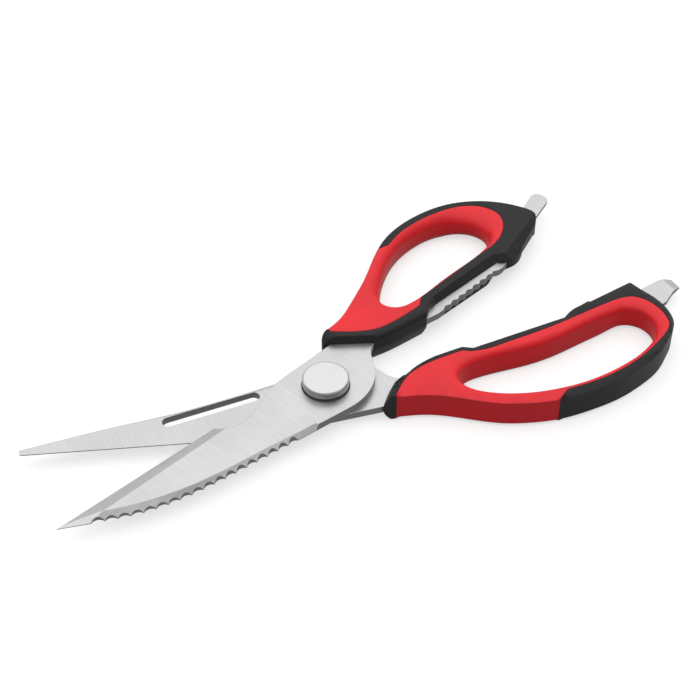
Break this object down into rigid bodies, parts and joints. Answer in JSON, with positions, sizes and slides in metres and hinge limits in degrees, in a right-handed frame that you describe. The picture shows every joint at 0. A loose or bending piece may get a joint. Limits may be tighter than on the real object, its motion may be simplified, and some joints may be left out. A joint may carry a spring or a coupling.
{
  "type": "kitchen shears",
  "caption": "Multi-purpose kitchen shears with two steel blades, a scaler back, a nutcracker gap, moulded loop handles and flat tips behind the handles.",
  "frame": {"origin": "on the pivot's axis, in the plane of the undersides of the handles and the nut", "axes": "+Z along the pivot to the bolt's head, +X halfway between the two blade tips, upper blade's tip towards +Y"},
  "size_m": [0.2285, 0.1056, 0.0115],
  "materials": {
    "blade_steel": "satin",
    "pivot_steel": "polished",
    "core_black": "satin",
    "grip_red": "satin",
    "washer_dark": "matte"
  },
  "bodies": {
    "lower_half": {"lower_blade": "blade_steel", "lower_handle_core": "core_black", "lower_handle_grip": "grip_red", "pivot_bolt": "pivot_steel", "pivot_washer": "washer_dark", "lock_washer": "pivot_steel", "pivot_nut": "pivot_steel"},
    "upper_half": {"upper_blade": "blade_steel", "upper_handle_core": "core_black", "upper_handle_grip": "grip_red"}
  },
  "joints": [
    {"name": "pivot", "type": "hinge", "parent": "lower_half", "child": "upper_half", "pos_m": [0, 0, 0.00545], "axis": [0, 0, 1], "range_deg": [-20.4, 55]}
  ]
}
